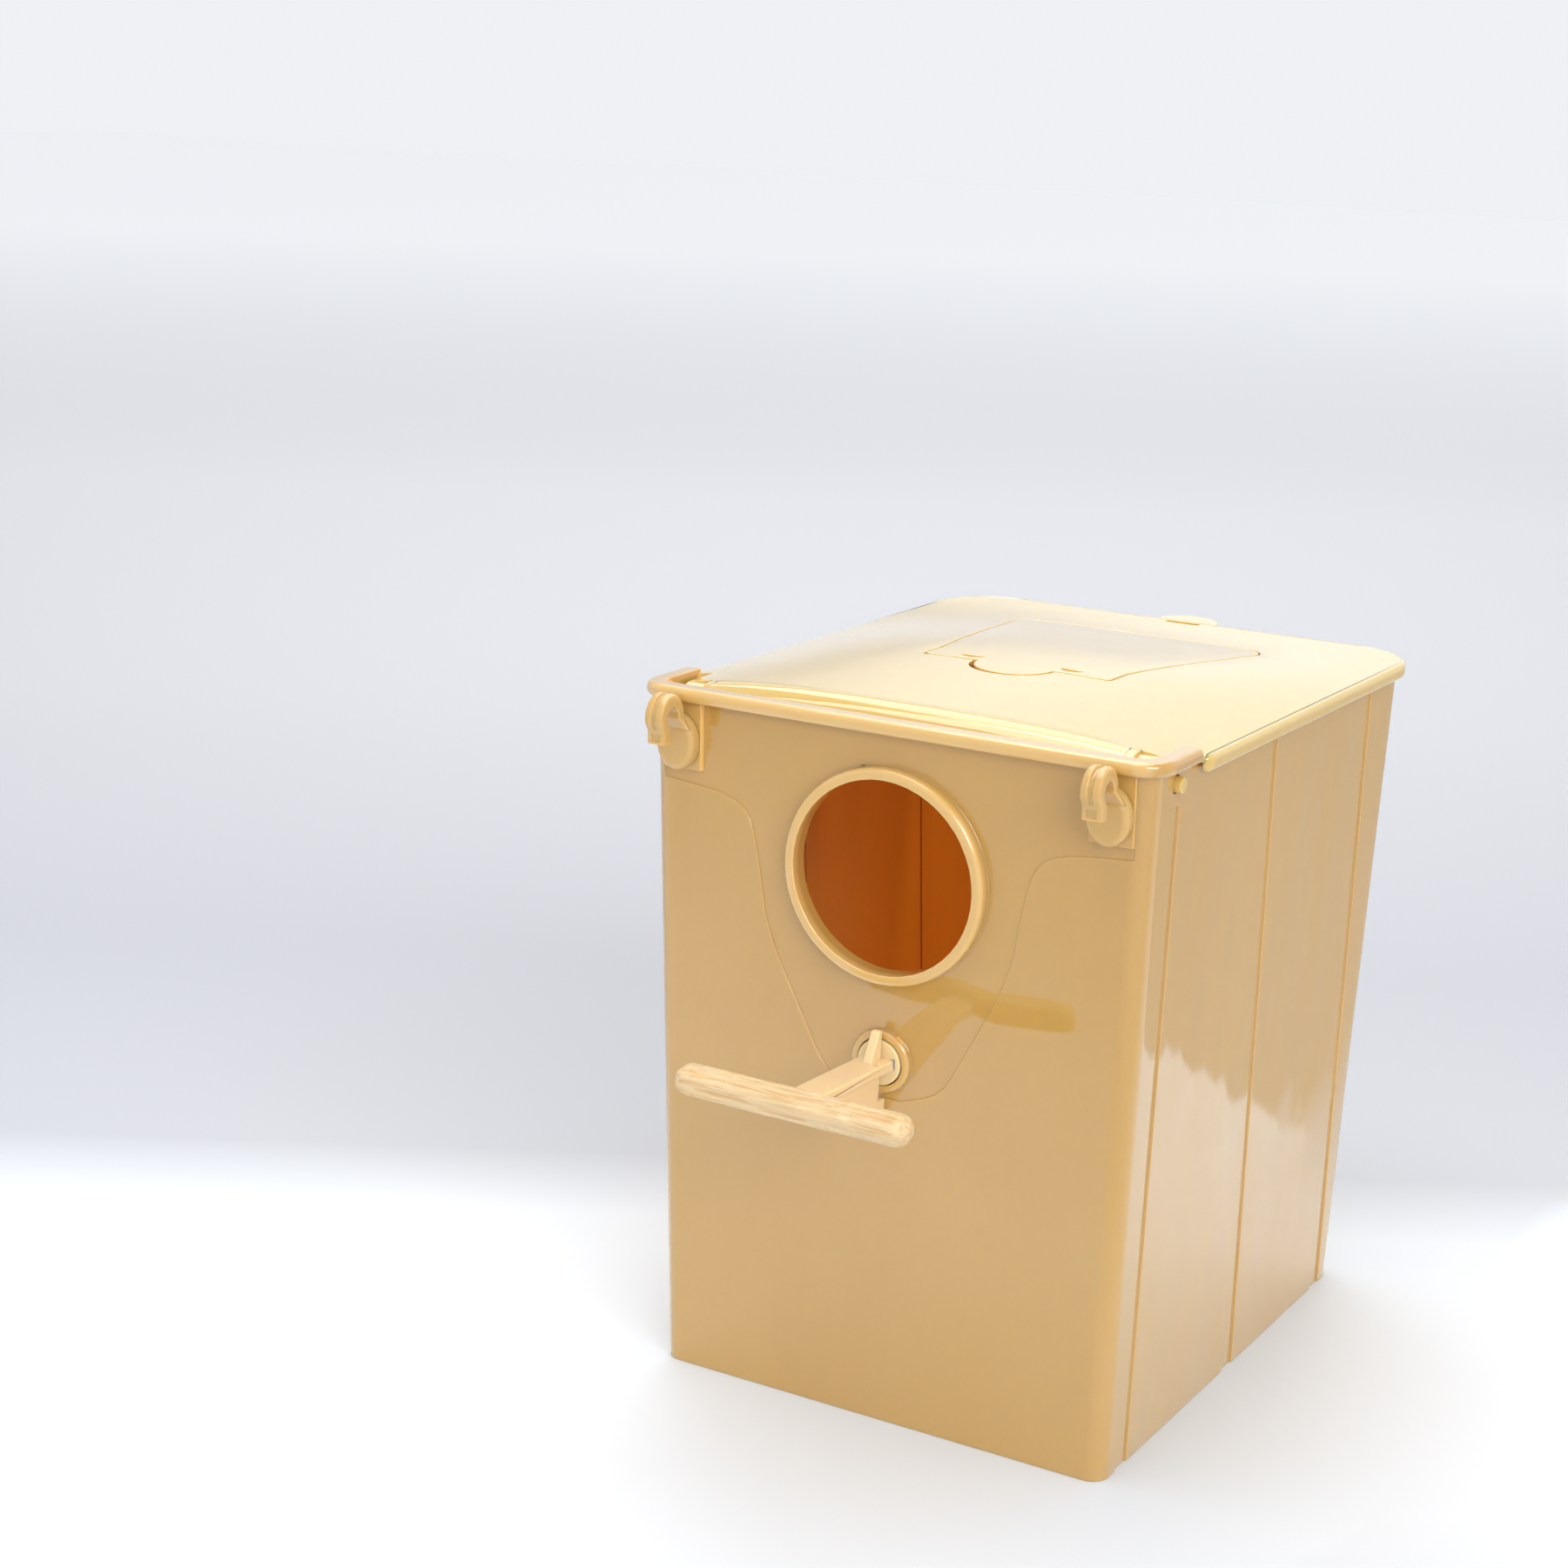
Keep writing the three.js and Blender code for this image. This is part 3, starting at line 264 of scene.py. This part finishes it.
def bump(tree, height, distance, strength, normal=None):
    inputs = {"Height": height, "Distance": distance, "Strength": strength}
    if normal is not None:
        inputs["Normal"] = normal
    return add_node(tree, "ShaderNodeBump", inputs).outputs["Normal"]


# Stops along the paper as shares of its length
def paper_shares(stops):
    return [((place - PAPER_START) / (PAPER_END - PAPER_START), colour) for place, colour in stops]


def floor_paper_painted_light():
    material, tree, shader = new_material("floor_paper_painted_light")
    place = place_socket(tree)
    along = dot(tree, place, PAPER_HEADING)
    right = split(tree, place)["X"]
    beside = spread(tree, right, *SHADE_PATCH_RIGHT[0])
    stepped = arithmetic(tree, "MULTIPLY_ADD", beside, -PAPER_LIGHT_STEP, along)
    share = spread(tree, stepped, PAPER_START, PAPER_END)
    # Painted light and shade along the paper
    paper_light_shade = ramp(tree, share, paper_shares(PAPER_LIGHT_AND_SHADE_STOPS))
    # Painted shade patch right of the box and behind it
    shade_patch = product(tree, between(tree, right, *SHADE_PATCH_RIGHT), between(tree, along, *SHADE_PATCH_BEHIND))
    feed(tree, shader, {
        "Base Color": mixed(tree, shade_patch, paper_light_shade, (*SHADE_PATCH_TONE, 1)),
        "Roughness": PAPER_ROUGHNESS,
        # Painted glow at the paper's far end
        "Emission Color": ramp(tree, share, paper_shares(PAPER_PAINTED_GLOW_STOPS)),
        "Emission Strength": 1.0,
    })
    return material


def make_floor():
    bm = bmesh.new()
    bmesh.ops.create_grid(bm, x_segments=1, y_segments=1, size=FLOOR_HALF)
    mesh = bpy.data.meshes.new("floor")
    bm.to_mesh(mesh)
    bm.free()
    mesh.materials.append(floor_paper_painted_light())
    floor = bpy.data.objects.new("floor", mesh)
    bpy.context.scene.collection.objects.link(floor)


# Moulded plastic: its colour drifts a little, its gloss carries flow lines, and its faces are not
# quite flat, so that what they mirror has wavy edges
PLASTIC_IOR = 1.6
COAT_IOR = 1.6
COAT_ROUGHNESS = 0.03
GLOW_RADIUS = (1.0, 0.7, 0.35)
GLOW_SCALE = 0.0018
DRIFT = {"cycles": (14, 14, 9), "detail": 3.0}
FLOW = {"cycles": (160, 160, 7), "detail": 4.0, "rough": 0.6}
FLOW_IN_TONE = 0.12
FLOW_SPAN = (0.3, 0.7)
TONE_SPAN = (0.3, 0.8)
WAVES = {"cycles": (17, 17, 11), "detail": 1.0}
WAVE_HEIGHT = 0.0007
RIPPLES = {"cycles": (60, 60, 20), "detail": 1.0, "rough": 0.3}
RIPPLE_HEIGHT = 0.00045
GRAIN = {"cycles": (1400, 1400, 1400), "detail": 1.0}
GRAIN_HEIGHT = 0.00002
GRAIN_STRENGTH = 0.2

# Painted light: what stands proud of the front wall is painted a little paler; the wall leans by
# FRONT_LEAN per metre up
FRONT_PLACE = 0.077
FRONT_LEAN = 0.0368
PROUD_LIT_EDGE = (0.0006, 0.002)
PROUD_LIT_TONE = (0.74, 0.50, 0.18)

# The crossbar is moulded as a twig, with grooves and lumps along it and painted shade in the
# grooves; the perch's stem behind TWIG_REACH is plain
TWIG_RIDGE = (0.88, 0.68, 0.40)
TWIG_GROOVE_SHADE = (0.74, 0.46, 0.18)
TWIG_REACH = (-0.116, -0.118)
GROOVES = {"cycles": (70, 900, 900), "detail": 3.0, "rough": 0.6, "distortion": 0.4}
GROOVE_SHADE_SPAN = (0.52, 0.36)
GROOVE_SHADE_SHARE = 0.8
LUMPS = {"cycles": (110, 260, 260), "detail": 1.0, "shift": (5, 2, 1)}
LUMP_SHARE = 1.2
BARK_HEIGHT = 0.0020
BARK_STRENGTH = 0.8

# Painted light: the inside faces of the tub get a paler copy of the plastic and a warm painted
# glow, for the light that comes through its thin walls
INSIDE_PAINTED_GLOW = (1.0, 0.30, 0.02)
INSIDE_STRENGTH = (0.03, 0.13)
INSIDE_PATCHES = {"cycles": (30, 30, 6), "detail": 2.0, "shift": (3, 1, 0)}
INSIDE_SPAN = (0.35, 0.65)

PLASTICS = {
    "tub_wall": {
        "deep": (0.58, 0.345, 0.088),
        "light": (0.615, 0.38, 0.105),
        "proud_lit_share": 1.0,
    },
    "lid_plate": {
        "deep": (0.70, 0.49, 0.14),
        "light": (0.73, 0.52, 0.16),
        "wave": 0.12,
    },
    "hook_plastic": {
        "deep": (0.63, 0.41, 0.14),
        "light": (0.67, 0.45, 0.17),
        "gloss": (0.15, 0.25),
        "wave": 0.2,
        "coat": 0.3,
    },
    "perch_twig": {
        "deep": TWIG_RIDGE,
        "light": TWIG_RIDGE,
        "gloss": (0.25, 0.4),
        "coat": 0.0,
    },
    # Painted light: a paler, lit copy of the tub's plastic for its inside faces
    "tub_inside_lit": {
        "deep": (0.78, 0.52, 0.18),
        "light": (0.81, 0.56, 0.21),
        "gloss": (0.12, 0.22),
        "coat": 0.0,
    },
}


def moulded(name, deep, light, gloss=(0.02, 0.06), wave=1.0, coat=1.0, proud_lit_share=0.0):
    material, tree, shader = new_material(name)
    flow = noise(tree, **FLOW)
    tone = arithmetic(tree, "MULTIPLY_ADD", flow, FLOW_IN_TONE, noise(tree, **DRIFT))
    plain = ramp(tree, tone, ((TONE_SPAN[0], deep), (TONE_SPAN[1], light)))
    place = split(tree, place_socket(tree))
    front = arithmetic(tree, "MULTIPLY_ADD", place["Z"], -FRONT_LEAN, -FRONT_PLACE)
    forward = arithmetic(tree, "SUBTRACT", front, place["Y"])
    # Painted light: a paler colour on what stands proud of the front wall
    proud_lit = spread(tree, forward, *PROUD_LIT_EDGE, 0.0, proud_lit_share)
    waves = bump(tree, noise(tree, **WAVES), WAVE_HEIGHT, wave)
    ripples = bump(tree, noise(tree, **RIPPLES), RIPPLE_HEIGHT, wave, waves)
    normal = bump(tree, noise(tree, **GRAIN), GRAIN_HEIGHT, GRAIN_STRENGTH, ripples)
    feed(tree, shader, {
        "Base Color": mixed(tree, proud_lit, plain, (*PROUD_LIT_TONE, 1)),
        "Roughness": spread(tree, flow, *FLOW_SPAN, *gloss),
        "Normal": normal,
        "IOR": PLASTIC_IOR,
        "Coat Weight": coat,
        "Coat IOR": COAT_IOR,
        "Coat Roughness": COAT_ROUGHNESS,
        "Coat Normal": normal,
        "Subsurface Weight": 1.0,
        "Subsurface Radius": GLOW_RADIUS,
        "Subsurface Scale": GLOW_SCALE,
    })
    return material, tree, shader


def plain_plastic(name):
    return moulded(name, **PLASTICS[name])[0]


def inside_plastic(name):
    material, tree, shader = moulded(name, **PLASTICS[name])
    patches = noise(tree, **INSIDE_PATCHES)
    # Painted glow on the inside faces, in patches
    feed(tree, shader, {
        "Emission Color": (*INSIDE_PAINTED_GLOW, 1),
        "Emission Strength": spread(tree, patches, *INSIDE_SPAN, *INSIDE_STRENGTH),
    })
    return material


def twig_plastic(name):
    material, tree, shader = moulded(name, **PLASTICS[name])
    grooves = noise(tree, **GROOVES)
    lumps = noise(tree, **LUMPS)
    bark = spread(tree, split(tree, place_socket(tree))["Y"], *TWIG_REACH)
    relief = arithmetic(tree, "MULTIPLY_ADD", lumps, LUMP_SHARE, grooves)
    # Painted shade: a darker tone in the grooves of the bark
    groove_shade = product(tree, bark, spread(tree, grooves, *GROOVE_SHADE_SPAN, 0.0, GROOVE_SHADE_SHARE))
    feed(tree, shader, {
        "Base Color": mixed(tree, groove_shade, (*TWIG_RIDGE, 1), (*TWIG_GROOVE_SHADE, 1)),
        "Normal": bump(tree, product(tree, bark, relief), BARK_HEIGHT, BARK_STRENGTH),
    })
    return material


# Every solid is rebuilt as a clean mesh: facets joined into whole faces, edges rounded off, less so
# beside a face narrower than LOW_STEP_MM
WELD = 2e-6
FLAT_DEG = 0.3
SHARP_DEG = 28
EDGE_ROUND_MM = {
    "tub": 0.28,
    "lid": 0.3,
    "flap": 0.25,
    "perch": 0.3,
    "hook_left": 0.12,
    "hook_right": 0.12,
}
LOW_STEP_MM = 0.5
LOW_ROUND_MM = 0.1
ROUND_SEGMENTS = 2
EVEN_WEIGHT = 100


# Width of the narrower face beside an edge
def step_beside(edge):
    return min(f.calc_area() / max(e.calc_length() for e in f.edges) for f in edge.link_faces)


def fine_mesh(node, width):
    bm = bmesh.new()
    bm.from_mesh(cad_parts[node].data)
    bmesh.ops.remove_doubles(bm, verts=bm.verts, dist=WELD)
    bmesh.ops.dissolve_limit(
        bm,
        angle_limit=math.radians(FLAT_DEG),
        verts=bm.verts,
        edges=bm.edges,
    )
    rounding = bm.edges.layers.float.new("bevel_weight_edge")
    for edge in bm.edges:
        if edge.is_manifold and edge.calc_face_angle(0) > math.radians(SHARP_DEG):
            is_low = step_beside(edge) < LOW_STEP_MM * MM
            edge[rounding] = min(1, LOW_ROUND_MM / width) if is_low else 1
    for face in bm.faces:
        face.smooth = True
    mesh = bpy.data.meshes.new("moulded_" + node)
    bm.to_mesh(mesh)
    bm.free()
    return mesh


def round_edges(piece, width):
    rounding = piece.modifiers.new("round_edges", "BEVEL")
    rounding.limit_method = "WEIGHT"
    rounding.width = width * MM
    rounding.segments = ROUND_SEGMENTS
    rounding.use_clamp_overlap = False
    even = piece.modifiers.new("even_normals", "WEIGHTED_NORMAL")
    even.keep_sharp = True
    even.weight = EVEN_WEIGHT


# A face of the tub lies inside when it looks across the chamber at another wall, or is its floor
ROOM_ACROSS_MM = 60
ROOM_FLOOR_MM = 10
LEVEL_SHARE = 0.9
RAY_START_MM = 0.1


def is_inside(walls, face):
    start = face.center + face.normal * RAY_START_MM * MM
    across = walls.ray_cast(start, face.normal)[3]
    is_floor = face.normal.z > LEVEL_SHARE and face.center.z < ROOM_FLOOR_MM * MM
    return is_floor or (across is not None and across > ROOM_ACROSS_MM * MM)


def mark_inside(mesh, inner):
    mesh.materials.append(inner)
    corners = [vertex.co for vertex in mesh.vertices]
    walls = BVHTree.FromPolygons(corners, [face.vertices for face in mesh.polygons])
    for face in mesh.polygons:
        face.material_index = 1 if is_inside(walls, face) else 0


def dress_nodes():
    wall, cover, hook = map(plain_plastic, ("tub_wall", "lid_plate", "hook_plastic"))
    twig = twig_plastic("perch_twig")
    inner = inside_plastic("tub_inside_lit")
    finishes = {"tub": wall, "lid": cover, "flap": cover, "perch": twig}
    for node, width in EDGE_ROUND_MM.items():
        mesh = fine_mesh(node, width)
        mesh.materials.append(finishes.get(node, hook))
        if node == "tub":
            mark_inside(mesh, inner)
        piece = bpy.data.objects.new("moulded_" + node, mesh)
        bpy.context.scene.collection.objects.link(piece)
        round_edges(piece, width)
        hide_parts(node)
        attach(piece, node)


make_camera()
make_room()
for lamp, sizes in LAMPS.items():
    make_lamp(lamp, **sizes)
make_floor()
dress_nodes()
